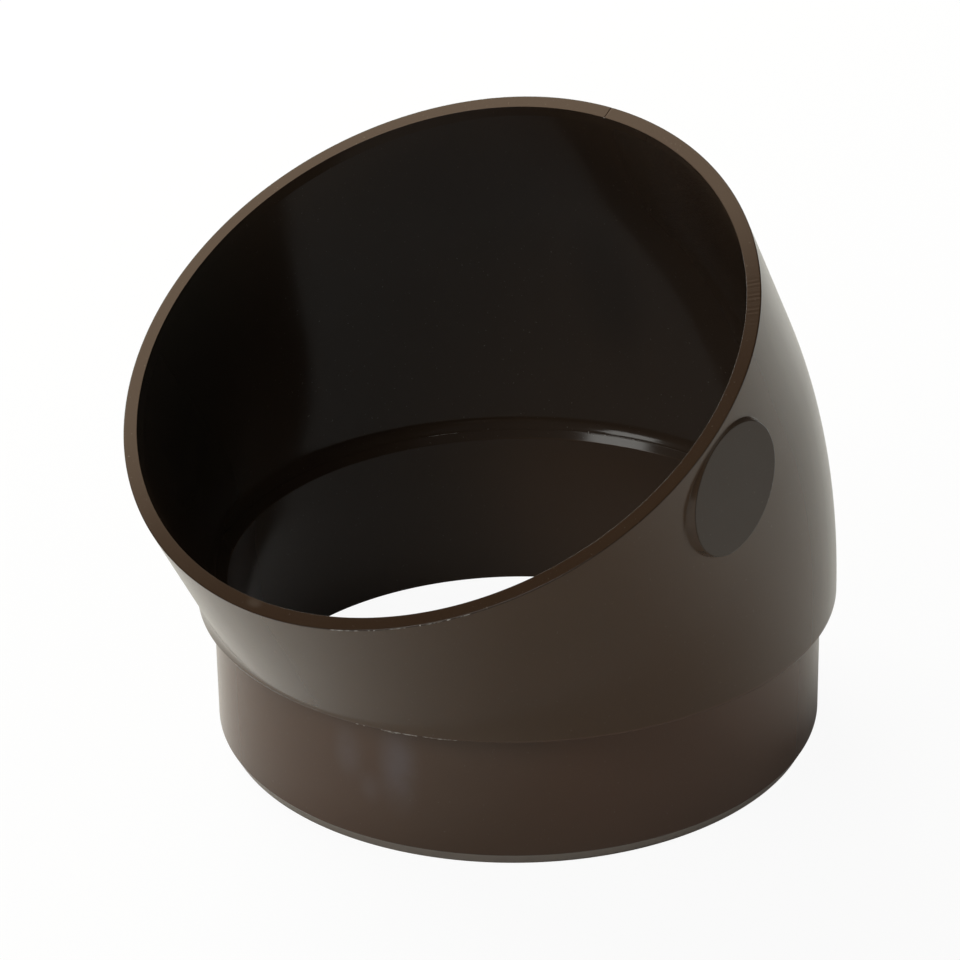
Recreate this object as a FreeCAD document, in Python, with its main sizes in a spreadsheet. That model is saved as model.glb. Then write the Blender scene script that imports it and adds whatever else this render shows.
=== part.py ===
import FreeCAD, Part
import math
import os
import Sketcher

# One moulded rain pipe elbow: a plain spigot at the foot, a square shoulder, a short bend and a
# straight socket. +Z points up along the spigot, and the origin is the centre of the spigot's foot.
# The bend leans toward +X, and the raised round pad is on the +Y side. Sizes are in millimetres.

NODE = "elbow"

SIZES = (
    ("SpigotDiameter", 100.0, "outside of the spigot, the nominal size of the pipe"),
    ("SpigotWall", 4.0, "wall of the spigot"),
    ("SpigotLength", 24.0, "foot to shoulder"),
    ("FootBevelHeight", 2.2, "bevel round the foot, along the spigot"),
    ("FootBevelDepth", 1.2, "bevel round the foot, across the wall"),
    ("SocketGap", 0.1, "room all round a spigot that is pushed into the socket"),
    ("SocketWall", 2.5, "wall of the bend and the socket"),
    ("InnerTurn", 2.4, "outside radius of the bend on its inner side, almost a crease"),
    ("BendAngle", 30.0, "degrees between the spigot's axis and the socket's"),
    ("SocketLength", 25.4, "straight part, from the end of the bend to the rim"),
    ("SeatDepth", 3.4, "taper at the lower end of the straight part, along the socket"),
    ("LedgeRise", 3.6, "shoulder to the inner lip of the ledge"),
    ("LedgeSlope", 8.0, "degrees by which the ledge rises toward the wall"),
    ("LedgeBand", 0.9, "steeper band between the ledge and the wall"),
    ("LeadInDepth", 2.0, "widened entry at the rim, along the socket"),
    ("LeadInStep", 0.2, "widened entry at the rim, across the wall"),
    ("PadDiameter", 22.4, "raised round pad"),
    ("PadMargin", 0.8, "rim to the nearest edge of the pad"),
    ("PadProud", 0.35, "height of the pad above the wall at the pad's centre"),
    ("PadRoot", 0.4, "depth of the pad's root in the wall at the pad's sides"),
    ("ShoulderBreak", 0.35, "broken edge of the shoulder"),
    ("RimBreak", 0.2, "broken edges of the rim"),
    ("Overrun", 6.0, "length by which the hollow runs past the foot and the rim"),
)

DERIVED = (
    ("SpigotRadius", "SpigotDiameter / 2", "outside of the spigot and inside of the bend"),
    ("BoreRadius", "SpigotRadius - SpigotWall", "inside of the spigot"),
    ("SocketRadius", "SpigotRadius + SocketGap", "inside of the socket"),
    ("OutsideRadius", "SocketRadius + SocketWall", "outside of the bend and the socket"),
    ("BendRadius", "OutsideRadius + InnerTurn", "centre line of the bend"),
    ("BendAcross", "BendRadius * (1 - cos(BendAngle))", "end of the bend, across"),
    ("BendTop", "SpigotLength + BendRadius * sin(BendAngle)", "end of the bend, above the foot"),
    ("HollowEnd", "SocketLength + Overrun", "end of the hollow, past the rim"),
    ("LipHeight", "SpigotLength + LedgeRise", "lip of the ledge, above the foot"),
    ("LedgeReach", "OutsideRadius + Overrun", "how far out the ledge's cut goes"),
    ("LedgeTop", "LipHeight + (LedgeReach - BoreRadius) * tan(LedgeSlope)", "its height there"),
    ("LedgeBottom", "SpigotLength - Overrun", "bottom of the ledge's cut"),
    ("PadRadius", "PadDiameter / 2", "raised round pad"),
    ("PadUp", "SocketLength - PadMargin - PadRadius", "end of the bend to the pad's centre"),
    ("PadAcross", "BendAcross + PadUp * sin(BendAngle)", "centre of the pad, across"),
    ("PadHeight", "BendTop + PadUp * cos(BendAngle)", "centre of the pad, above the foot"),
    ("PadFace", "OutsideRadius + PadProud", "face of the pad, from the plane of the bend"),
    ("PadDrop", "OutsideRadius - sqrt(OutsideRadius^2 - PadRadius^2)", "fall of the wall there"),
)

# How a sketch names its origin, its two axes and the points of a line or an arc.
ORIGIN, UPRIGHT_AXIS = range(-1, -3, -1)
LEVEL_AXIS = ORIGIN
START, END, CENTRE = range(1, 4)

# Edges are told apart by points on them, to this distance.
SAME_PLACE = 0.02
POINTS_ON_EDGE = 5

UP = FreeCAD.Vector(0, 0, 1)


def make_sheet(doc):
    sheet = doc.addObject("Spreadsheet::Sheet", "Sizes")
    cells = [(alias, str(value), note) for alias, value, note in SIZES]
    cells += [(alias, f"={formula}", note) for alias, formula, note in DERIVED]
    for row, (alias, content, note) in enumerate(cells, start=1):
        sheet.set(f"A{row}", alias)
        sheet.set(f"B{row}", content)
        sheet.set(f"C{row}", note)
        sheet.setAlias(f"B{row}", alias)
    doc.recompute()
    return sheet


def new_sketch(body, role, name):
    plane = next(item for item in body.Origin.OriginFeatures if item.Role == role)
    sketch = body.newObject("Sketcher::SketchObject", name)
    sketch.AttachmentSupport = [(plane, "")]
    sketch.MapMode = "FlatFace"
    return sketch


def size_now(sketch, formula):
    return float(sketch.evalExpression(formula))


def add_size(sketch, name, formula, *constraint):
    start = size_now(sketch, formula)
    index = sketch.addConstraint(Sketcher.Constraint(*constraint, start))
    sketch.renameConstraint(index, name)
    sketch.setExpression(f"Constraints.{name}", formula)


def draw_outline(sketch, corners):
    """Closed outline of straight lines. A corner is its name and its place across and up, as formulas."""
    places = [(size_now(sketch, across), size_now(sketch, up)) for _, across, up in corners]
    points = [FreeCAD.Vector(across, up, 0) for across, up in places]
    for start, end in zip(points, points[1:] + points[:1]):
        sketch.addGeometry(Part.LineSegment(start, end), False)
    for line in range(len(points)):
        following = (line + 1) % len(points)
        sketch.addConstraint(Sketcher.Constraint("Coincident", line, END, following, START))
    for line, (name, across, up) in enumerate(corners):
        if across == "0":
            sketch.addConstraint(Sketcher.Constraint("PointOnObject", line, START, UPRIGHT_AXIS))
        else:
            add_size(sketch, f"{name}Across", across, "DistanceX", ORIGIN, START, line, START)
        if up == "0":
            sketch.addConstraint(Sketcher.Constraint("PointOnObject", line, START, LEVEL_AXIS))
        else:
            add_size(sketch, f"{name}Up", up, "DistanceY", ORIGIN, START, line, START)


def draw_disc(body, name, radius, height):
    """Disc about the spigot's axis, at a height above the foot."""
    sketch = new_sketch(body, "XY_Plane", name)
    sketch.setExpression("AttachmentOffset.Base.z", height)
    sketch.addGeometry(Part.Circle(FreeCAD.Vector(), UP, size_now(sketch, radius)), False)
    sketch.addConstraint(Sketcher.Constraint("Coincident", 0, CENTRE, ORIGIN, START))
    add_size(sketch, "Radius", radius, "Radius", 0)
    return sketch


def draw_bend_path(body, name, straight_length):
    """Centre line of the bend and the socket, in the plane of the bend."""
    sketch = new_sketch(body, "XZ_Plane", name)
    shoulder, radius = "Sizes.SpigotLength", "Sizes.BendRadius"
    centre = FreeCAD.Vector(size_now(sketch, radius), size_now(sketch, shoulder), 0)
    turn = Part.Circle(centre, UP, centre.x)
    lean = math.radians(size_now(sketch, "Sizes.BendAngle"))
    sketch.addGeometry(Part.ArcOfCircle(turn, math.pi - lean, math.pi), False)
    top = sketch.getPoint(0, START)
    along = FreeCAD.Vector(math.sin(lean), math.cos(lean), 0) * size_now(sketch, straight_length)
    sketch.addGeometry(Part.LineSegment(top, top + along), False)
    bend, straight = range(2)
    sketch.addConstraint(Sketcher.Constraint("PointOnObject", bend, END, UPRIGHT_AXIS))
    sketch.addConstraint(Sketcher.Constraint("Tangent", bend, START, straight, START))
    add_size(sketch, "StartHeight", shoulder, "DistanceY", ORIGIN, START, bend, END)
    add_size(sketch, "CentreHeight", shoulder, "DistanceY", ORIGIN, START, bend, CENTRE)
    add_size(sketch, "Radius", radius, "Radius", bend)
    add_size(sketch, "Straight", straight_length, "Distance", straight)
    angle = sketch.addConstraint(Sketcher.Constraint("Angle", straight, math.pi / 2 - lean))
    sketch.renameConstraint(angle, "Lean")
    sketch.setExpression("Constraints.Lean", "(90 - Sizes.BendAngle) * 1deg")
    return sketch


def add_feature(body, kind, name, profile):
    feature = body.newObject(kind, name)
    feature.Profile = profile
    return feature


def revolve_outline(body, kind, name, sketch):
    feature = add_feature(body, kind, name, sketch)
    feature.ReferenceAxis = (sketch, ["V_Axis"])
    feature.Angle = 360


def sweep_bend(body, name, radius, straight_length):
    """Round solid that follows the bend from the shoulder and then runs straight."""
    disc = draw_disc(body, f"{name}Disc", radius, "Sizes.SpigotLength")
    path = draw_bend_path(body, f"{name}Path", straight_length)
    pipe = add_feature(body, "PartDesign::AdditivePipe", name, disc)
    pipe.Spine = path


def dress_edges(body, kind, name, edges, formulas):
    base = body.Tip
    feature = body.newObject(kind, name)
    feature.Base = (base, edges)
    for path, formula in formulas.items():
        feature.setExpression(path, formula)
    return feature


def edges_where(shape, fits):
    """Names of the edges on which every sample point fits."""
    return [
        f"Edge{number}"
        for number, edge in enumerate(shape.Edges, start=1)
        if all(fits(point) for point in edge.discretize(POINTS_ON_EDGE))
    ]


def ring_edges(shape, middle, axis, radius):
    """Names of the edges that lie on one circle."""

    def fits(point):
        along = (point - middle).dot(axis)
        across = (point - middle - axis * along).Length
        return abs(along) < SAME_PLACE and abs(across - radius) < SAME_PLACE

    return edges_where(shape, fits)


def ledge_edges(shape, sheet):
    """Names of the edges where the sloping ledge meets the wall."""
    rise = math.tan(math.radians(sheet.LedgeSlope))

    def fits(point):
        width = math.hypot(point.x, point.y) - sheet.BoreRadius
        level = point.z - sheet.LipHeight - width * rise
        return width > sheet.LedgeBand and abs(level) < SAME_PLACE

    return edges_where(shape, fits)


def cut_ledge(body):
    """Takes the lower end of the space away, down to the slope of the ledge."""
    sketch = new_sketch(body, "XZ_Plane", "LedgeOutline")
    corners = (
        ("Middle", "0", "Sizes.LedgeBottom"),
        ("Under", "Sizes.LedgeReach", "Sizes.LedgeBottom"),
        ("Outer", "Sizes.LedgeReach", "Sizes.LedgeTop"),
        ("Lip", "Sizes.BoreRadius", "Sizes.LipHeight"),
        ("Level", "0", "Sizes.LipHeight"),
    )
    draw_outline(sketch, corners)
    revolve_outline(body, "PartDesign::Groove", "Ledge", sketch)


def open_socket(body):
    """Space of the socket about its own axis: a short taper, the straight bore and the widened entry."""
    sketch = new_sketch(body, "XZ_Plane", "SocketOutline")
    sketch.setExpression("AttachmentOffset.Base.x", "Sizes.BendAcross")
    sketch.setExpression("AttachmentOffset.Base.y", "Sizes.BendTop")
    sketch.setExpression("AttachmentOffset.Rotation.Angle", "-Sizes.BendAngle * 1deg")
    entry = "Sizes.SocketRadius + Sizes.LeadInStep"
    corners = (
        ("BendEnd", "0", "0"),
        ("Seat", "Sizes.SpigotRadius", "0"),
        ("Bore", "Sizes.SocketRadius", "Sizes.SeatDepth"),
        ("Entry", "Sizes.SocketRadius", "Sizes.SocketLength - Sizes.LeadInDepth"),
        ("Mouth", entry, "Sizes.SocketLength"),
        ("Past", entry, "Sizes.HollowEnd"),
        ("Far", "0", "Sizes.HollowEnd"),
    )
    draw_outline(sketch, corners)
    revolve_outline(body, "PartDesign::Revolution", "SocketSpace", sketch)


def make_hollow(doc, sheet):
    """The space inside: the bend and socket down to the ledge, and the spigot's bore below it."""
    body = doc.addObject("PartDesign::Body", "Hollow")
    sweep_bend(body, "BendSpace", "Sizes.SpigotRadius", "Sizes.SeatDepth")
    open_socket(body)
    cut_ledge(body)
    doc.recompute()
    edges = ledge_edges(body.Shape, sheet)
    dress_edges(body, "PartDesign::Chamfer", "LedgeBand", edges, {"Size": "Sizes.LedgeBand"})
    bore = draw_disc(body, "BoreDisc", "Sizes.BoreRadius", "-Sizes.Overrun")
    drill = add_feature(body, "PartDesign::Pad", "SpigotSpace", bore)
    drill.setExpression("Length", "2 * Sizes.Overrun + Sizes.LipHeight")
    doc.recompute()
    return body


def add_spigot(body):
    """Solid spigot with a bevelled foot."""
    sketch = new_sketch(body, "XZ_Plane", "SpigotOutline")
    corners = (
        ("Middle", "0", "0"),
        ("Foot", "Sizes.SpigotRadius - Sizes.FootBevelDepth", "0"),
        ("Bevel", "Sizes.SpigotRadius", "Sizes.FootBevelHeight"),
        ("Shoulder", "Sizes.SpigotRadius", "Sizes.SpigotLength"),
        ("Top", "0", "Sizes.SpigotLength"),
    )
    draw_outline(sketch, corners)
    revolve_outline(body, "PartDesign::Revolution", "Spigot", sketch)


def add_pad(body):
    """Raised flat round pad on the side of the socket, bare."""
    sketch = new_sketch(body, "XZ_Plane", "PadDisc")
    sketch.setExpression("AttachmentOffset.Base.z", "-Sizes.PadFace")
    across, up, radius = "Sizes.PadAcross", "Sizes.PadHeight", "Sizes.PadRadius"
    centre = FreeCAD.Vector(size_now(sketch, across), size_now(sketch, up), 0)
    sketch.addGeometry(Part.Circle(centre, UP, size_now(sketch, radius)), False)
    add_size(sketch, "Radius", radius, "Radius", 0)
    add_size(sketch, "Across", across, "DistanceX", ORIGIN, START, 0, CENTRE)
    add_size(sketch, "Up", up, "DistanceY", ORIGIN, START, 0, CENTRE)
    pad = add_feature(body, "PartDesign::Pad", "RaisedPad", sketch)
    pad.setExpression("Length", "Sizes.PadProud + Sizes.PadDrop + Sizes.PadRoot")


def cut_hollow(body, hollow):
    cut = body.newObject("PartDesign::Boolean", "Inside")
    cut.setObjects([hollow])
    cut.Type = "Cut"


def break_edges(doc, body, sheet):
    """Takes the sharpness off the shoulder and the rim, as the mould does."""
    turn = math.radians(sheet.BendAngle)
    lean = FreeCAD.Vector(math.sin(turn), 0, math.cos(turn))
    mouth = FreeCAD.Vector(sheet.BendAcross, 0, sheet.BendTop) + lean * sheet.SocketLength
    shoulder = ring_edges(body.Shape, UP * sheet.SpigotLength, UP, sheet.OutsideRadius)
    size = {"Size": "Sizes.ShoulderBreak"}
    dress_edges(body, "PartDesign::Chamfer", "ShoulderEdge", shoulder, size)
    doc.recompute()
    rims = ring_edges(body.Shape, mouth, lean, sheet.OutsideRadius)
    rims += ring_edges(body.Shape, mouth, lean, sheet.SocketRadius + sheet.LeadInStep)
    dress_edges(body, "PartDesign::Chamfer", "RimEdges", rims, {"Size": "Sizes.RimBreak"})
    doc.recompute()


def make_elbow(doc, sheet):
    hollow = make_hollow(doc, sheet)
    body = doc.addObject("PartDesign::Body", NODE)
    add_spigot(body)
    sweep_bend(body, "Socket", "Sizes.OutsideRadius", "Sizes.SocketLength")
    add_pad(body)
    cut_hollow(body, hollow)
    doc.recompute()
    break_edges(doc, body, sheet)
    return body


def check_model(doc, body):
    failed = [item.Name for item in doc.Objects if {"Invalid", "Error"} & set(item.State)]
    if failed:
        raise RuntimeError(f"these objects failed: {failed}")
    shape = body.Shape
    if shape.isNull() or not shape.isValid() or len(shape.Solids) != 1:
        raise RuntimeError("the elbow is not one valid solid")


def main():
    doc = FreeCAD.newDocument("Elbow")
    sheet = make_sheet(doc)
    elbow = make_elbow(doc, sheet)
    check_model(doc, elbow)
    os.makedirs("parts", exist_ok=True)
    elbow.Shape.exportStep(f"parts/{NODE}.step")
    box = elbow.Shape.optimalBoundingBox()
    print(f"{NODE}: {elbow.Shape.Volume:.0f} mm3, {len(elbow.Shape.Faces)} faces, {box}")


main()
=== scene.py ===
import bmesh
import bpy
import math
import numpy as np
from mathutils import Matrix, Vector


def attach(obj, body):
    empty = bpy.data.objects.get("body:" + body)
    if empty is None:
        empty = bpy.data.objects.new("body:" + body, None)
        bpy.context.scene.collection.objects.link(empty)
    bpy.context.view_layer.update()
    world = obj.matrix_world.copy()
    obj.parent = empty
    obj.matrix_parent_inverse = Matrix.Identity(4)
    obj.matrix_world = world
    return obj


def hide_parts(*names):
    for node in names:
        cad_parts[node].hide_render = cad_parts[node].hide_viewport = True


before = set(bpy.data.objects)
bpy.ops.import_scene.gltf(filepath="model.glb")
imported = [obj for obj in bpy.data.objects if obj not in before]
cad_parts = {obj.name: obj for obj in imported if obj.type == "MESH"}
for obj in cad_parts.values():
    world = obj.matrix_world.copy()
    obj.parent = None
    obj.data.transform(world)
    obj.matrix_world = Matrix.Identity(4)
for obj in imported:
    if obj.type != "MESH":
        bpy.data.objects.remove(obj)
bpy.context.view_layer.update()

# One brown plastic rain pipe elbow. The shell is one closed mesh of rings that run up the outside,
# over the rim and down the inside. Sizes are in millimetres until a mesh is made.

MM = 0.001

# Sizes of the spigot, the bend and the socket
SPIGOT_RADIUS = 50.0
BORE_RADIUS = 46.0
BORE_STRAIGHT = 6.0
BORE_EDGE_ROUND = 0.15
BEVEL_ACROSS = 1.2
BEVEL_UP = 2.2
BEVEL_INNER_ROUND = 0.12
BEVEL_OUTER_ROUND = 0.25
SHOULDER_HEIGHT = 24.0
SHOULDER_INNER_ROUND = 0.3
SHOULDER_ROUND = 0.35
OUTSIDE_RADIUS = 52.6
BEND_RADIUS = 55.0
BEND_ANGLE = math.radians(30)
SOCKET_RADIUS = 50.1
SOCKET_LENGTH = 25.4
RIM_OUTER_ROUND = 0.15
RIM_INNER_ROUND = 0.03
ENTRY_RADIUS = 50.3
ENTRY_DEPTH = 2.0
ENTRY_ROUND = 0.8

# Sizes of the ledge inside and of the lip at its lower edge. The groove's points are given as how far
# in from the ledge's foot they are, and how far up.
WALL_AT_LEDGE = 49.75
LEDGE_RISE = math.tan(math.radians(51))
LEDGE_RISE_IN_FRONT = math.tan(math.radians(14))
LEDGE_HOLLOW = 1.15
LEDGE_FOOT_IN = 0.8 * LEDGE_HOLLOW
LEDGE_GROOVE = ((0.02, -0.06), (0.06, -0.08), (0.10, -0.05), (0.12, 0.0), (0.17, 0.0))
LIP_RADIUS = 47.6
LIP_HEIGHT = 26.7
LIP_ROUND = 0.25
LIP_DRAFT = 0.06
LIP_FOOT = 25.0

# Sizes of the round pad, and its place from the end of the bend
PAD_RADIUS = 10.8
PAD_PROUD = 0.35
PAD_DRAFT = 0.2
PAD_ROOT_ROUND = 0.16
PAD_EDGE_ROUND = 0.26
PAD_UP = 13.4
PAD_ACROSS = 0.4

# Marks on the rim, in degrees round it and millimetres deep, and how far down they go
PARTING_ANGLE = 178.9
PARTING_WIDTH = 0.10
PARTING_DEPTH = 0.03
SCUFF_FROM = 108.5
SCUFF_TO = 127
SCUFF_FADE_IN = 4
SCUFF_FADE_OUT = 5
SCUFF_DEPTH = 0.0013
MARKED_DEPTH = 0.25

# Columns of the mesh, as the first angle, the end and the step in degrees
EVEN_COLUMNS = (0, 360, 0.75)
PARTING_COLUMNS = (178.5, 179.35, 0.08)
SCUFFED_COLUMNS = (108.25, 127.6, 0.25)

# Rows of the mesh. The pad sits in an opening between the first and last of the wall's even rows, and
# between two columns given in degrees.
BEND_STEPS = 34
BEND_FIRST_STEP = 0.35
WALL_START = 1.3
WALL_END = 24.98
WALL_STEPS = 24
INNER_START = 14.0
INNER_STEPS = 29
HOLLOW_STEPS = 7
BORE_STEPS = 8
OPENING_FROM = 75.75
OPENING_TO = 104.25
PAD_WALL_SHARES = (0.25, 0.5, 0.75, 0.93)
PAD_ROOT_ANGLES = (0, 30, 60, 90)
PAD_EDGE_LOWER = (0, 22, 45)
PAD_EDGE_UPPER = (67, 90)
PAD_FACE_RADII = (10.5, 10.2, 9.0, 7.0, 5.0, 3.0, 1.5)

LEAN = np.array([math.sin(BEND_ANGLE), 0.0, math.cos(BEND_ANGLE)])
ACROSS = np.array([math.cos(BEND_ANGLE), 0.0, -math.sin(BEND_ANGLE)])
SIDE = np.array([0.0, 1.0, 0.0])
UP = np.array([0.0, 0.0, 1.0])
BEND_END = np.array([
    BEND_RADIUS * (1 - math.cos(BEND_ANGLE)),
    0.0,
    SHOULDER_HEIGHT + BEND_RADIUS * math.sin(BEND_ANGLE),
])


# Shape

def column_angles():
    """Angles of the shell's columns: even, but closer at the parting line and the scuffed rim."""
    spans = [np.arange(*span) for span in (EVEN_COLUMNS, PARTING_COLUMNS, SCUFFED_COLUMNS)]
    return np.radians(np.unique(np.round(np.concatenate(spans), 3)))


TURN = column_angles()
COLUMNS = len(TURN)


def shares(steps):
    """Even shares from nothing to one, in that many steps."""
    return np.linspace(0, 1, steps + 1)


def blend(first, last, share):
    """The first value at a share of nothing, the last at a share of one."""
    return first * (1 - share) + last * share


def spigot_ring(radius, height, turn=TURN):
    """Ring about the spigot's axis."""
    radius, height = np.broadcast_to(radius, turn.shape), np.broadcast_to(height, turn.shape)
    return np.stack([radius * np.cos(turn), radius * np.sin(turn), height], axis=-1)


def bend_ring(radius, angle):
    """Ring across the bend, at an angle round it that may differ from column to column."""
    angle = np.broadcast_to(angle, TURN.shape)
    reach = BEND_RADIUS - radius * np.cos(TURN)
    return np.stack([
        BEND_RADIUS - reach * np.cos(angle),
        radius * np.sin(TURN),
        SHOULDER_HEIGHT + reach * np.sin(angle),
    ], axis=-1)


def socket_ring(radius, along, turn=TURN):
    """Ring about the socket's axis, at a distance from the end of the bend."""
    radius, along = np.broadcast_to(radius, turn.shape), np.broadcast_to(along, turn.shape)
    outward = np.cos(turn)[:, None] * ACROSS + np.sin(turn)[:, None] * SIDE
    return BEND_END + along[:, None] * LEAN + radius[:, None] * outward


def inside_ring(path):
    """Ring of the inner wall at a path length that is negative in the bend, per column."""
    widen_from, widen_over = -25, 15
    path = np.broadcast_to(path, TURN.shape)
    widen = np.clip((path - widen_from) / widen_over, 0, 1)
    radius = WALL_AT_LEDGE + (SOCKET_RADIUS - WALL_AT_LEDGE) * widen * (2 - widen)
    straight = socket_ring(radius, path)
    curved = bend_ring(radius, BEND_ANGLE + path / BEND_RADIUS)
    return np.where((path > 0)[:, None], straight, curved)


def rounded(corners):
    """Outline through the corners (across, up, round), each corner an arc with close lines beside it."""
    steps, longest_cut, hold, longest_hold = 4, 0.45, 0.5, 0.3
    points = [corners[0][:2]]
    for before, (across, up, size), after in zip(corners, corners[1:], corners[2:]):
        here = np.array([across, up])
        back = np.array(before[:2]) - here
        ahead = np.array(after[:2]) - here
        room_back, room_ahead = np.linalg.norm(back), np.linalg.norm(ahead)
        back, ahead = back / room_back, ahead / room_ahead
        half = math.acos(np.clip(back @ ahead, -1, 1)) / 2
        reach = min(size / math.tan(half), longest_cut * room_back, longest_cut * room_ahead)
        middle = here + (back + ahead) / np.linalg.norm(back + ahead) * reach / math.cos(half)
        first, last = here + back * reach, here + ahead * reach
        points.append(tuple(first + back * min(hold * size, longest_hold * room_back)))
        for share in shares(steps):
            mixed = blend(first - middle, last - middle, share)
            length = np.linalg.norm(first - middle) / np.linalg.norm(mixed)
            points.append(tuple(middle + mixed * length))
        points.append(tuple(last + ahead * min(hold * size, longest_hold * room_ahead)))
    points.append(corners[-1][:2])
    return points


def ledge_rise(turn):
    """Steepness of the ledge, which eases off on the bend's short side, where the photo can't show it."""
    ease_from, ease_over = 0.55, 0.43
    front = np.clip((np.cos(turn) - ease_from) / ease_over, 0, 1)
    front = front * front * (3 - 2 * front)
    return LEDGE_RISE + (LEDGE_RISE_IN_FRONT - LEDGE_RISE) * front


def ledge_corner(height):
    """Path along the inner wall, per column, at which the wall is that far above the ledge's slope."""
    lowest, highest, halvings = -27.0, 12.0, 40
    low, high = np.full(COLUMNS, lowest), np.full(COLUMNS, highest)
    for _ in range(halvings):
        middle = (low + high) / 2
        point = inside_ring(middle)
        rise = ledge_rise(np.arctan2(point[:, 1], point[:, 0]))
        ledge = LIP_HEIGHT + rise * (np.hypot(point[:, 0], point[:, 1]) - LIP_RADIUS)
        above = point[:, 2] > ledge + height
        high, low = np.where(above, middle, high), np.where(above, low, middle)
    return high


def rim_marks(radius, along):
    """How far each column of a ring on the rim stands off: the parting line and the scuffed ribs."""
    if along < SOCKET_LENGTH - MARKED_DEPTH:
        return np.zeros(COLUMNS)
    slow, middling, fast = 7.9, 13.7, 19.3
    degrees = np.degrees(TURN)
    parting = -PARTING_DEPTH * np.exp(-((degrees - PARTING_ANGLE) / PARTING_WIDTH) ** 2)
    ribs = np.sin(degrees * slow) + np.sin(degrees * middling + radius) + 0.8 * np.sin(degrees * fast)
    fade = np.clip((degrees - SCUFF_FROM) / SCUFF_FADE_IN, 0, 1)
    fade = fade * np.clip((SCUFF_TO - degrees) / SCUFF_FADE_OUT, 0, 1)
    return parting + SCUFF_DEPTH * ribs * fade


def spigot_outline():
    """From the bore over the foot and up to the shoulder: radius, height and finish of each ring."""
    outline = rounded([
        (BORE_RADIUS, BORE_STRAIGHT, 0),
        (BORE_RADIUS, 0.0, BORE_EDGE_ROUND),
        (SPIGOT_RADIUS - BEVEL_ACROSS, 0.0, BEVEL_INNER_ROUND),
        (SPIGOT_RADIUS, BEVEL_UP, BEVEL_OUTER_ROUND),
        (SPIGOT_RADIUS, SHOULDER_HEIGHT, SHOULDER_INNER_ROUND),
        (OUTSIDE_RADIUS, SHOULDER_HEIGHT, SHOULDER_ROUND),
        (OUTSIDE_RADIUS, SHOULDER_HEIGHT + 4 * SHOULDER_ROUND, 0),
    ])
    for radius, height in outline[:-2]:
        in_bore = radius < BORE_RADIUS + 0.01 and height > 0.2
        on_bevel = radius > SPIGOT_RADIUS - BEVEL_ACROSS - 0.1 and 0.02 < height < BEVEL_UP - 0.3
        if in_bore:
            yield radius, height, "bore"
        elif on_bevel:
            yield radius, height, "foot_bevel"
        else:
            yield radius, height, "spigot"


def rim_outline():
    """From the socket's outside over its mouth: radius, distance along and finish of each ring."""
    outline = rounded([
        (OUTSIDE_RADIUS, SOCKET_LENGTH - 0.6, 0),
        (OUTSIDE_RADIUS, SOCKET_LENGTH, RIM_OUTER_ROUND),
        (ENTRY_RADIUS, SOCKET_LENGTH, RIM_INNER_ROUND),
        (SOCKET_RADIUS, SOCKET_LENGTH - ENTRY_DEPTH, ENTRY_ROUND),
        (SOCKET_RADIUS, INNER_START, 0),
    ])
    for radius, along in outline[1:]:
        on_face = along > SOCKET_LENGTH - 0.01
        on_outer_edge = radius > OUTSIDE_RADIUS - 0.19 and along > SOCKET_LENGTH - 0.3
        yield radius, along, "rim" if on_face or on_outer_edge else "inside"


def ledge_rings():
    """Rings from the inner wall down the ledge, over its lip and down to the bore, with finishes."""
    top = inside_ring(ledge_corner(LEDGE_HOLLOW))
    meet = inside_ring(ledge_corner(0.0))
    ledge_turn = np.arctan2(meet[:, 1], meet[:, 0])
    line = np.hypot(meet[:, 0], meet[:, 1]) - LEDGE_FOOT_IN

    def ledge_ring(radius, lift=0.0):
        height = LIP_HEIGHT + ledge_rise(ledge_turn) * (radius - LIP_RADIUS) + lift
        return spigot_ring(radius, height, ledge_turn)

    foot = ledge_ring(line)
    for share in shares(HOLLOW_STEPS)[1:]:
        yield top * (1 - share) ** 2 + meet * 2 * share * (1 - share) + foot * share ** 2, "inside"
    for inward, lift in LEDGE_GROOVE:
        yield ledge_ring(line - inward, lift), "inside"
    groove_end = line - LEDGE_GROOVE[-1][0]
    for share in (0.35, 0.7):
        yield ledge_ring(blend(groove_end, LIP_RADIUS + LIP_ROUND, share)), "inside"
    lip = rounded([
        (LIP_RADIUS + 0.6, LIP_HEIGHT + 0.6 * LEDGE_RISE, 0),
        (LIP_RADIUS, LIP_HEIGHT, LIP_ROUND),
        (LIP_RADIUS - LIP_DRAFT, LIP_FOOT, 0),
    ])
    for radius, height in lip[1:]:
        yield spigot_ring(radius, height, ledge_turn), "bore"
    unwound = TURN + (ledge_turn - TURN + math.pi) % (2 * math.pi) - math.pi
    for share in shares(BORE_STEPS)[1:-1]:
        radius = blend(LIP_RADIUS - LIP_DRAFT, BORE_RADIUS, share)
        height = blend(LIP_FOOT, BORE_STRAIGHT, share)
        yield spigot_ring(radius, height, blend(unwound, TURN, share)), "bore"


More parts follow.
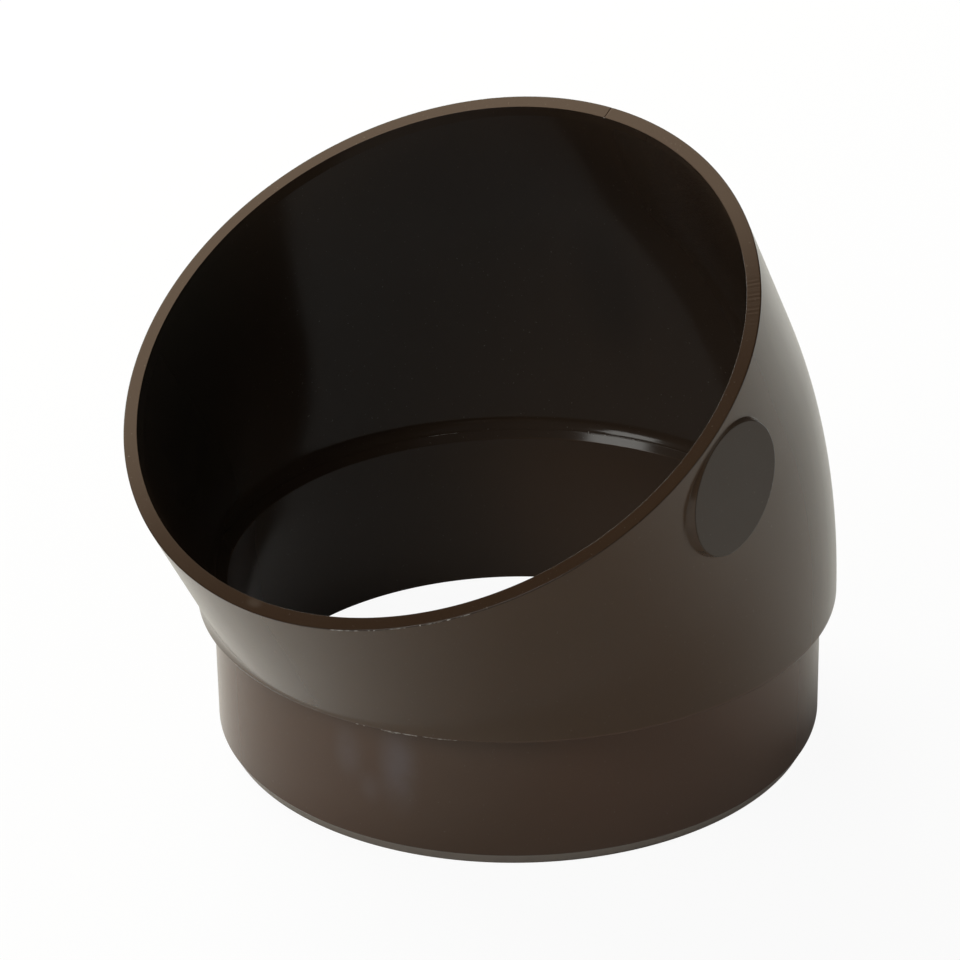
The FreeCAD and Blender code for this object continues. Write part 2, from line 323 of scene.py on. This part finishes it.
def make_rings():
    """All rings of the shell in order, the finish of the strip above each, and the opening's first row."""
    rings, strips = [], []

    def add(ring, finish):
        rings.append(ring)
        strips.append(finish)

    for radius, height, finish in spigot_outline():
        add(spigot_ring(radius, height), finish)

    start = np.arcsin(SHOULDER_ROUND / (BEND_RADIUS - OUTSIDE_RADIUS * np.cos(TURN)))
    for share in shares(BEND_STEPS)[1:-1]:
        eased = share * (BEND_FIRST_STEP + (1 - BEND_FIRST_STEP) * share)
        add(bend_ring(OUTSIDE_RADIUS, start + (BEND_ANGLE - start) * eased), "outside")

    for along in (0.0, 0.6):
        add(socket_ring(OUTSIDE_RADIUS, along), "outside")
    opening_row = len(rings)
    for along in np.linspace(WALL_START, WALL_END, WALL_STEPS + 1):
        add(socket_ring(OUTSIDE_RADIUS, along), "outside")

    for radius, along, finish in rim_outline():
        add(socket_ring(radius, along + rim_marks(radius, along)), finish)

    inner_end = ledge_corner(LEDGE_HOLLOW)
    for share in shares(INNER_STEPS)[1:]:
        add(inside_ring(INNER_START + (inner_end - INNER_START) * share), "inside")

    for ring, finish in ledge_rings():
        add(ring, finish)
    return rings, strips, opening_row


def pad_rings(boundary):
    """Rings from the opening to half-way round the pad's edge, rings over the rest, and the middle."""
    from_axis = boundary - BEND_END
    across, along = from_axis @ ACROSS - PAD_ACROSS, from_axis @ LEAN - PAD_UP
    far = np.hypot(across, along)
    ray_across, ray_along = across / far, along / far
    face = OUTSIDE_RADIUS + PAD_PROUD

    def wall_height(distance):
        return np.sqrt(OUTSIDE_RADIUS ** 2 - (ray_across * distance + PAD_ACROSS) ** 2)

    def ring(distance, height):
        distance = np.broadcast_to(distance, far.shape)
        height = np.broadcast_to(height, far.shape)
        place = (ray_across * distance + PAD_ACROSS)[:, None] * ACROSS
        place = place + (ray_along * distance + PAD_UP)[:, None] * LEAN
        return BEND_END + place + height[:, None] * SIDE

    root, edge = PAD_ROOT_ROUND, PAD_EDGE_ROUND

    def edge_ring(angle):
        return ring(PAD_RADIUS - edge * (1 - math.cos(angle)), face - edge * (1 - math.sin(angle)))

    base = wall_height(PAD_RADIUS)
    foot = PAD_RADIUS + PAD_DRAFT * (face - base)
    lower = []
    for share in PAD_WALL_SHARES:
        distance = blend(far, foot + root, share)
        lower.append(ring(distance, wall_height(distance)))
    for angle in np.radians(PAD_ROOT_ANGLES):
        out = foot + root * (1 - math.sin(angle))
        on_wall = wall_height(out) * (1 - math.sin(angle) ** 2)
        on_pad = (base + root * (1 - math.cos(angle))) * math.sin(angle) ** 2
        lower.append(ring(out, on_wall + on_pad))
    lower.append(ring((foot + PAD_RADIUS) / 2, (base + root + face - edge) / 2))
    lower += [edge_ring(angle) for angle in np.radians(PAD_EDGE_LOWER)]
    upper = [edge_ring(angle) for angle in np.radians(PAD_EDGE_UPPER)]
    upper += [ring(distance, face) for distance in PAD_FACE_RADII]
    middle = BEND_END + PAD_ACROSS * ACROSS + PAD_UP * LEAN + face * SIDE
    return lower, upper, middle


def add_piece(name, verts, faces):
    """Object of a closed mesh given in millimetres, with its faces turned outward."""
    mesh = bpy.data.meshes.new(name)
    mesh.from_pydata([tuple(np.array(vert) * MM) for vert in verts], [], faces)
    piece = bpy.data.objects.new(name, mesh)
    bpy.context.scene.collection.objects.link(piece)
    work = bmesh.new()
    work.from_mesh(mesh)
    bmesh.ops.recalc_face_normals(work, faces=work.faces)
    work.to_mesh(mesh)
    work.free()
    return piece


def make_shell():
    """The elbow as one closed mesh, and the name of each face's finish."""
    rings, strips, first_row = make_rings()
    verts = [point for ring in rings for point in ring]
    faces, marks = [], []

    def corner_of(row, column):
        return (row % len(rings)) * COLUMNS + column % COLUMNS

    last_row = first_row + WALL_STEPS
    first_column = int(np.argmin(abs(np.degrees(TURN) - OPENING_FROM)))
    last_column = int(np.argmin(abs(np.degrees(TURN) - OPENING_TO)))
    for row, finish in enumerate(strips):
        for column in range(COLUMNS):
            if first_row <= row < last_row and first_column <= column < last_column:
                continue
            faces.append((
                corner_of(row, column), corner_of(row, column + 1),
                corner_of(row + 1, column + 1), corner_of(row + 1, column),
            ))
            marks.append(finish)

    loop = [corner_of(first_row, column) for column in range(first_column, last_column)]
    loop += [corner_of(row, last_column) for row in range(first_row, last_row)]
    loop += [corner_of(last_row, column) for column in range(last_column, first_column, -1)]
    loop += [corner_of(row, first_column) for row in range(last_row, first_row, -1)]
    lower, upper, middle = pad_rings(np.array([verts[corner] for corner in loop]))
    count = len(loop)
    previous = loop
    for number, ring in enumerate(lower + upper):
        start = len(verts)
        verts += list(ring)
        current = list(range(start, start + count))
        for here in range(count):
            beside = (here + 1) % count
            faces.append((previous[here], previous[beside], current[beside], current[here]))
            marks.append("outside" if number < len(lower) else "pad")
        previous = current
    verts.append(middle)
    for here in range(count):
        faces.append((previous[here], previous[(here + 1) % count], len(verts) - 1))
        marks.append("pad")
    return add_piece("elbow_shell", verts, faces), marks


# Slivers of flash and burr: place, angle from and angle to in degrees, how far out and how far down
SLIVERS = (
    ("shoulder", 8.7, 9.3, 0.21, 0.15),
    ("shoulder", 10.1, 10.6, 0.19, 0.13),
    ("shoulder", 13.4, 17.4, 0.34, 0.25),
    ("shoulder", 17.2, 20.4, 0.21, 0.16),
    ("shoulder", 20.6, 27.5, 0.20, 0.14),
    ("rim_edge", 13.5, 21.4, 0.13, 0.10),
    ("rim_edge", 21.8, 22.5, 0.16, 0.13),
    ("rim_edge", 22.8, 23.3, 0.15, 0.12),
    ("rim_edge", 23.6, 30.0, 0.12, 0.09),
    ("rim_edge", 30.8, 31.15, 0.12, 0.34),
    ("rim_edge", 31.6, 35.2, 0.12, 0.09),
    ("rim_edge", 35.4, 36.4, 0.16, 0.12),
    ("rim_edge", 36.8, 40.4, 0.12, 0.09),
    ("rim_inside", 178.7, 179.4, 0.12, 0.12),
    ("rim_inside", 116.2, 116.8, 0.10, 0.08),
    ("rim_inside", 118.0, 118.4, 0.08, 0.06),
    ("rim_inside", 12.6, 13.2, 0.08, 0.06),
    ("ledge", 191.9, 192.6, 0.12, 0.12),
    ("ledge", 198.2, 198.8, 0.12, 0.10),
    ("ledge", 201.9, 202.2, 0.10, 0.42),
    ("ledge", 229.0, 236.0, 0.07, 0.07),
)

# Corners of a sliver's section, as shares of how far it goes out and down
SLIVER_SECTION = ((1, 0.25), (0.45, 1), (-0.6, 0), (0, -0.6))
SLIVER_LEAST_STEPS = 4
SLIVER_STEPS_PER_DEGREE = 4

# How far a sliver's root is sunk into the edge it sits on, across and along
SHOULDER_SINK = (0.14, 0.14)
RIM_EDGE_SINK = (0.06, 0.1)
RIM_INSIDE_SINK = (0.05, 0.08)
LEDGE_SLIVER_IN = 1.0


def sliver_line(place, turn):
    """Points of a sliver's root, and the two directions in which it grows."""
    round_spigot = np.stack([np.cos(turn), np.sin(turn), np.zeros_like(turn)], axis=-1)
    round_socket = np.cos(turn)[:, None] * ACROSS + np.sin(turn)[:, None] * SIDE
    if place == "shoulder":
        across, along = SHOULDER_SINK
        return spigot_ring(OUTSIDE_RADIUS - across, SHOULDER_HEIGHT + along, turn), round_spigot, -UP
    if place == "rim_edge":
        across, along = RIM_EDGE_SINK
        return socket_ring(OUTSIDE_RADIUS - across, SOCKET_LENGTH - along, turn), round_socket, -LEAN
    if place == "rim_inside":
        across, along = RIM_INSIDE_SINK
        return socket_ring(ENTRY_RADIUS + across, SOCKET_LENGTH - along, turn), -round_socket, LEAN
    height = LIP_HEIGHT + LEDGE_SLIVER_IN * LEDGE_RISE
    return spigot_ring(LIP_RADIUS + LEDGE_SLIVER_IN, height, turn), -round_spigot, UP


def make_slivers():
    """Small closed slivers of flash and burr that the mould and the saw left on the edges."""
    verts, faces = [], []
    corners = len(SLIVER_SECTION)
    for place, start, end, out, down in SLIVERS:
        steps = max(SLIVER_LEAST_STEPS, int((end - start) * SLIVER_STEPS_PER_DEGREE))
        share = shares(steps)
        root, outward, downward = sliver_line(place, np.radians(start + (end - start) * share))
        ragged = 0.7 + 0.3 * np.sin(share * 23 + start * 5) * np.sin(share * 11 + end)
        full = np.sin(math.pi * share) ** 0.5 * ragged
        first = len(verts)
        for step in range(1, steps):
            reach = out * full[step] * outward[step]
            drop = down * full[step] * downward
            verts += [root[step] + far * reach + low * drop for far, low in SLIVER_SECTION]
        ends = len(verts)
        verts += [root[0], root[-1]]
        last = first + corners * (steps - 2)
        for section in range(first, last, corners):
            for side in range(corners):
                here, beside = section + side, section + (side + 1) % corners
                faces.append((here, beside, beside + corners, here + corners))
        for side in range(corners):
            beside = (side + 1) % corners
            faces.append((ends, first + beside, first + side))
            faces.append((ends + 1, last + side, last + beside))
    return add_piece("edge_flash", verts, faces)


# Finishes

INSIDE_BROWN = (0.048, 0.032, 0.022, 1.0)
INSIDE_LIGHTER = (0.056, 0.036, 0.024, 1.0)
# Painted shade for the inner wall: colours that stand in for the shade on its side at the camera's left,
# and deeper shade at the back
INSIDE_PAINTED_SHADE = (0.030, 0.026, 0.021, 1.0)
INSIDE_DEEP_PAINTED_SHADE = (0.024, 0.015, 0.010, 1.0)
# Painted light: a lighter, more red glow for the back of the bore
BORE_PAINTED_GLOW = (0.080, 0.048, 0.030, 1.0)
OUTSIDE_BROWN = (0.082, 0.051, 0.031, 1.0)
OUTSIDE_REDDER = (0.096, 0.058, 0.036, 1.0)
# Spigot colours: more red than the outside, and painted lighter to offset the shade it gets near the floor
SPIGOT_RED_BROWN_PAINTED_LIGHTER = (0.096, 0.059, 0.039, 1.0)
SPIGOT_REDDER_PAINTED_LIGHTER = (0.116, 0.065, 0.044, 1.0)
RIM_BROWN = (0.038, 0.020, 0.010, 1.0)
RIM_LIGHTER = (0.045, 0.025, 0.013, 1.0)
# Pad colours: painted shade, less bright than the wall, standing in for the shadows of the real pad's
# lettering
PAD_PAINTED_SHADE = (0.041, 0.025, 0.015, 1.0)
PAD_PAINTED_SHADE_CLOUD = (0.048, 0.030, 0.018, 1.0)
# Foot bevel colours: painted light, far paler than the plastic, standing in for the bright floor's
# reflection
BEVEL_PAINTED_LIGHT = (0.300, 0.255, 0.220, 1.0)
BEVEL_PAINTED_LIGHT_CLOUD = (0.240, 0.200, 0.170, 1.0)
FLASH_BROWN = (0.22, 0.18, 0.15, 1.0)
FLASH_PALE = (0.60, 0.56, 0.52, 1.0)
DUST = (0.20, 0.17, 0.14, 1.0)
# Painted soft highlight: the pale lilac of sheen spots on the spigot
PAINTED_SHEEN = (0.150, 0.125, 0.130, 1.0)
WHITE = (1, 1, 1, 1)
FLOOR_PALE = (0.85, 0.85, 0.84, 1.0)


class Signal:
    """A shader socket. Adding to it or multiplying it makes a Math node."""

    def __init__(self, finish, socket):
        self.finish, self.socket = finish, socket

    def _maths(self, operation, other):
        return self.finish.node("ShaderNodeMath", {"operation": operation}, {0: self, 1: other})

    def __add__(self, other):
        return self._maths("ADD", other)

    def __mul__(self, other):
        return self._maths("MULTIPLY", other)


class Finish:
    """The node tree of one material, or of the world."""

    def __init__(self, owner):
        owner.use_nodes = True
        self.owner, self.tree = owner, owner.node_tree
        self.tree.nodes.clear()

    def node(self, kind, settings=None, inputs=None, result=0):
        """New node with these settings and inputs. Gives the output that result picks, if any."""
        made = self.tree.nodes.new(kind)
        for name, value in (settings or {}).items():
            setattr(made, name, value)
        for name, value in (inputs or {}).items():
            if isinstance(value, Signal):
                self.tree.links.new(value.socket, made.inputs[name])
            else:
                made.inputs[name].default_value = value
        return None if result is None else Signal(self, made.outputs[result])

    def place(self):
        return self.node("ShaderNodeTexCoord", result="Object")

    def noise(self, scale, detail):
        inputs = {"Vector": self.place(), "Scale": scale, "Detail": detail}
        return self.node("ShaderNodeTexNoise", inputs=inputs)

    def between(self, value, low, high):
        """Smooth step from nothing at low to one at high."""
        inputs = {"Value": value, "From Min": low, "From Max": high}
        return self.node("ShaderNodeMapRange", {"interpolation_type": "SMOOTHSTEP"}, inputs)

    def mix(self, share, first, second):
        inputs = {0: share, 6: first, 7: second}
        return self.node("ShaderNodeMix", {"data_type": "RGBA"}, inputs, result=2)

    def spot(self, centre, reach, core=0.2):
        """One in the core of an ellipsoid, easing to nothing at its edge. In millimetres."""
        centre, reach = [part * MM for part in centre], [part * MM for part in reach]
        away = self.node("ShaderNodeVectorMath", {"operation": "SUBTRACT"}, {0: self.place(), 1: centre})
        scaled = self.node("ShaderNodeVectorMath", {"operation": "DIVIDE"}, {0: away, 1: reach})
        length = self.node("ShaderNodeVectorMath", {"operation": "LENGTH"}, {0: scaled}, "Value")
        return self.between(length, 1.0, core)

    def light_path(self, ray):
        return self.node("ShaderNodeLightPath", result=ray)

    def close(self, shader, output="ShaderNodeOutputMaterial"):
        self.node(output, inputs={"Surface": shader}, result=None)
        return self.owner


def plastic_colour(finish, base, lighter, dust=0.25):
    """Brown with soft clouds in the mix and fine pale specks of dust."""
    cloud = finish.between(finish.noise(scale=18.0, detail=2.0), low=0.35, high=0.65)
    specks = finish.between(finish.noise(scale=2300.0, detail=2.0), low=0.70, high=0.76)
    return finish.mix(specks * dust, finish.mix(cloud * 0.6, base, lighter), DUST)


def gloss(finish, level, spread=0.06):
    """Roughness about a level, a little uneven."""
    return finish.noise(scale=60.0, detail=3.0) * spread + (level - spread / 2)


def plastic(finish, colour, roughness, ripple, shine):
    """Moulded plastic. Its ripple is the depth of the bumps in metres."""
    waves = finish.noise(scale=45.0, detail=2.0) + finish.noise(scale=900.0, detail=2.0) * 0.02
    bump = finish.node("ShaderNodeBump", inputs={"Height": waves, "Strength": 1.0, "Distance": ripple})
    return finish.close(finish.node("ShaderNodeBsdfPrincipled", inputs={
        "Base Color": colour,
        "Roughness": roughness,
        "Specular IOR Level": shine,
        "Normal": bump,
    }))


def outside_wall():
    finish = Finish(bpy.data.materials.new("glossy_outside_wall"))
    colour = plastic_colour(finish, OUTSIDE_BROWN, OUTSIDE_REDDER)
    return plastic(finish, colour, gloss(finish, level=0.20), ripple=0.00006, shine=0.32)


def spigot_wall():
    """The spigot's outside, more red and painted lighter to offset the shade near the floor, with painted
    soft highlights in spots under the shoulder.
    """
    finish = Finish(bpy.data.materials.new("glossy_spigot_wall"))
    # Partly painted light: the spigot's colours are lighter to offset the shade near the floor
    colour = plastic_colour(finish, SPIGOT_RED_BROWN_PAINTED_LIGHTER, SPIGOT_REDDER_PAINTED_LIGHTER)
    # Painted soft highlights in spots under the shoulder, broken into patches by noise
    sheen_patches = finish.between(finish.noise(scale=150.0, detail=2.0), low=0.0, high=0.60)
    painted_sheen = finish.spot(centre=(48.2, 13.2, 16.5), reach=(12.0, 4.6, 11.0), core=0.0)
    painted_sheen = painted_sheen + finish.spot(centre=(49.8, 4.4, 17.0), reach=(12.0, 3.8, 7.0), core=0.0) * 0.6
    painted_sheen = painted_sheen + finish.spot(centre=(49.3, 8.3, 11.5), reach=(12.0, 3.0, 4.0), core=0.0) * 0.4
    painted_sheen = painted_sheen * sheen_patches
    colour = finish.mix(painted_sheen * 0.68, colour, PAINTED_SHEEN)
    roughness = gloss(finish, level=0.20) + painted_sheen * 0.03
    return plastic(finish, colour, roughness, ripple=0.00006, shine=0.32)


def inside_wall():
    """The inner wall, with painted shade on its side at the camera's left, and deeper painted shade in a
    band and below the rim at the back.
    """
    finish = Finish(bpy.data.materials.new("glossy_inside_wall"))
    colour = plastic_colour(finish, INSIDE_BROWN, INSIDE_LIGHTER, dust=0.5)
    # Painted shade on the inner wall's side at the camera's left
    painted_shade = finish.spot(centre=(38.0, -54.0, 58.0), reach=(48.0, 40.0, 62.0), core=0.35)
    colour = finish.mix(painted_shade, colour, INSIDE_PAINTED_SHADE)
    # Deeper painted shade in a band at the back and below the rim
    deep_painted_shade = finish.spot(centre=(-43.0, -12.0, 60.0), reach=(11.0, 9.0, 28.0)) * 0.5
    deep_painted_shade = deep_painted_shade + finish.spot(centre=(-24.0, -25.0, 88.0), reach=(42.0, 40.0, 32.0)) * 0.7
    colour = finish.mix(deep_painted_shade, colour, INSIDE_DEEP_PAINTED_SHADE)
    return plastic(finish, colour, gloss(finish, level=0.13), ripple=0.00003, shine=0.30)


def rim_face():
    """The cut face of the mouth, with one rubbed place."""
    finish = Finish(bpy.data.materials.new("satin_rim_face"))
    colour = plastic_colour(finish, RIM_BROWN, RIM_LIGHTER, dust=0.4)
    rubbed = finish.spot(centre=(64.3, -0.9, 48.1), reach=(1.1, 1.9, 1.1))
    colour = finish.mix(rubbed * 0.16, colour, DUST)
    return plastic(finish, colour, gloss(finish, level=0.12, spread=0.04), ripple=0.00001, shine=0.38)


def spigot_bore():
    """The waterway, with a painted glow of light, lighter and more red, at the back where the camera looks
    into it.
    """
    finish = Finish(bpy.data.materials.new("glossy_spigot_bore"))
    colour = plastic_colour(finish, INSIDE_BROWN, INSIDE_LIGHTER)
    # Painted glow of light at the back of the bore
    painted_glow = finish.spot(centre=(-43.0, -15.0, 16.0), reach=(30.0, 32.0, 26.0)) * 0.6
    colour = finish.mix(painted_glow, colour, BORE_PAINTED_GLOW)
    return plastic(finish, colour, gloss(finish, level=0.15), ripple=0.00003, shine=0.30)


def bare_pad():
    # The pad's face has painted shade for the shadows of its lettering
    finish = Finish(bpy.data.materials.new("round_pad_painted_shade"))
    colour = plastic_colour(finish, PAD_PAINTED_SHADE, PAD_PAINTED_SHADE_CLOUD)
    return plastic(finish, colour, gloss(finish, level=0.24), ripple=0.00004, shine=0.18)


def foot_bevel():
    # Painted light: the bevel is coloured pale in place of the floor's bright reflection
    finish = Finish(bpy.data.materials.new("foot_bevel_painted_light"))
    colour = plastic_colour(finish, BEVEL_PAINTED_LIGHT, BEVEL_PAINTED_LIGHT_CLOUD)
    return plastic(finish, colour, gloss(finish, level=0.38), ripple=0.00002, shine=0.22)


def whitened_flash():
    finish = Finish(bpy.data.materials.new("whitened_flash"))
    pale = finish.between(finish.noise(scale=1500.0, detail=2.0), low=0.35, high=0.6)
    colour = finish.mix(pale, FLASH_BROWN, FLASH_PALE)
    return plastic(finish, colour, gloss(finish, level=0.42), ripple=0.00001, shine=0.40)


def dress_shell(shell, marks):
    """Gives the shell its materials and each face the one that its mark names."""
    made = {
        "outside": outside_wall(), "inside": inside_wall(), "rim": rim_face(),
        "bore": spigot_bore(), "pad": bare_pad(), "foot_bevel": foot_bevel(),
        "spigot": spigot_wall(),
    }
    for material in made.values():
        shell.data.materials.append(material)
    order = list(made)
    for polygon, mark in zip(shell.data.polygons, marks):
        polygon.material_index = order.index(mark)
        polygon.use_smooth = True


# Studio

# Sizes and places are in metres. The floor and the world show white to the camera, and only a little of
# that white to the object's shine.
FLOOR_HALF = 4.0
FLOOR_DROP = 0.00005
FLOOR_WHITE_SEEN = 0.94
FLOOR_WHITE_IN_SHINE = 0.04
WORLD_LIGHT = 0.05
WORLD_WHITE_SEEN = 1.0
WORLD_WHITE_IN_SHINE = 0.02
SOFTBOX_AIM = Vector((0, 0, 0.05))
SENSOR_WIDTH = 36.0
LENS = 152.12
CLIP = (0.01, 50.0)
CAMERA_RIGHT = Vector((-0.60961, 0.79256, -0.01493))
CAMERA_UP = Vector((-0.36701, -0.26551, 0.89152))
CAMERA_BACK = Vector((0.70262, 0.54896, 0.45274))
CAMERA_PLACE = Vector((0.46827, 0.35853, 0.34225))


def white_share(finish, seen, in_shine):
    """Share of plain white for what the camera sees, and for what the object's shine shows."""
    direct = finish.light_path("Is Camera Ray") + finish.light_path("Is Transmission Ray")
    return direct * seen + finish.light_path("Is Glossy Ray") * in_shine


def make_floor():
    mesh = bpy.data.meshes.new("pale_floor")
    half = FLOOR_HALF
    corners = [(-half, -half, 0), (half, -half, 0), (half, half, 0), (-half, half, 0)]
    mesh.from_pydata(corners, [], [(0, 1, 2, 3)])
    floor = bpy.data.objects.new("pale_floor", mesh)
    floor.location.z = -FLOOR_DROP
    bpy.context.scene.collection.objects.link(floor)
    finish = Finish(bpy.data.materials.new("pale_floor"))
    lit = finish.node("ShaderNodeBsdfDiffuse", inputs={"Color": FLOOR_PALE})
    white = finish.node("ShaderNodeEmission", inputs={"Color": WHITE, "Strength": 1.0})
    share = white_share(finish, FLOOR_WHITE_SEEN, FLOOR_WHITE_IN_SHINE)
    shown = finish.node("ShaderNodeMixShader", inputs={0: share, 1: lit, 2: white})
    mesh.materials.append(finish.close(shown))


def make_world():
    world = bpy.data.worlds.new("studio")
    bpy.context.scene.world = world
    finish = Finish(world)
    soft = finish.node("ShaderNodeBackground", inputs={"Color": WHITE, "Strength": WORLD_LIGHT})
    white = finish.node("ShaderNodeBackground", inputs={"Color": WHITE, "Strength": 1.0})
    share = white_share(finish, WORLD_WHITE_SEEN, WORLD_WHITE_IN_SHINE)
    shown = finish.node("ShaderNodeMixShader", inputs={0: share, 1: soft, 2: white})
    finish.close(shown, "ShaderNodeOutputWorld")


def add_softbox(name, size, radiance, tint):
    light = bpy.data.lights.new(name, "AREA")
    light.shape = "RECTANGLE"
    light.size, light.size_y = size
    light.energy = radiance * math.pi * size[0] * size[1]
    light.color = tint
    lamp = bpy.data.objects.new(name, light)
    bpy.context.scene.collection.objects.link(lamp)
    return lamp


def stand_softbox(name, azimuth, height, distance, size, radiance, tint):
    """Softbox that faces the object from an azimuth and an angle above the floor, in degrees."""
    lamp = add_softbox(name, size, radiance, tint)
    about, above = math.radians(azimuth), math.radians(height)
    level = math.cos(above)
    towards = Vector((level * math.cos(about), level * math.sin(about), math.sin(above)))
    lamp.location = towards * distance + SOFTBOX_AIM
    lamp.rotation_mode = "QUATERNION"
    lamp.rotation_quaternion = (-towards).to_track_quat("-Z", "Y")


def hang_softbox(name, place, turn, size, radiance, tint):
    """Softbox that hangs level and faces down, turned by an angle in degrees."""
    lamp = add_softbox(name, size, radiance, tint)
    lamp.location = place
    lamp.rotation_euler = (0.0, 0.0, math.radians(turn))


def make_camera():
    """Camera at the photograph's viewing angle, as all the photo's edges fitted together give it."""
    data = bpy.data.cameras.new("photo_view")
    data.sensor_width = SENSOR_WIDTH
    data.lens = LENS
    data.clip_start, data.clip_end = CLIP
    camera = bpy.data.objects.new("photo_view", data)
    columns = (CAMERA_RIGHT, CAMERA_UP, CAMERA_BACK, CAMERA_PLACE)
    rows = [[column[axis] for column in columns] for axis in range(3)]
    camera.matrix_world = Matrix(rows + [[0, 0, 0, 1]])
    bpy.context.scene.collection.objects.link(camera)
    bpy.context.scene.camera = camera


make_camera()
shell, marks = make_shell()
dress_shell(shell, marks)
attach(shell, "root")
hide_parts("elbow")
slivers = make_slivers()
slivers.data.materials.append(whitened_flash())
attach(slivers, "root")
make_floor()
make_world()
hang_softbox("overhead_softbox", place=(-0.3600, -0.9160, 1.0), turn=-55.0, size=(1.2, 1.0),
             radiance=2.34, tint=(1.0, 0.77, 0.56))
stand_softbox("back_left_softbox", azimuth=249, height=22, distance=1.5, size=(1.36, 0.8),
              radiance=9.2, tint=(0.90, 1.0, 0.99))
stand_softbox("left_softbox", azimuth=347, height=47, distance=1.3, size=(0.42, 0.9),
              radiance=4.9, tint=(1.0, 1.0, 0.96))
stand_softbox("right_strip_light", azimuth=112, height=12, distance=1.5, size=(1.0, 0.5),
              radiance=1.8, tint=(0.98, 1.0, 0.95))
bpy.context.scene.view_settings.view_transform = "Standard"
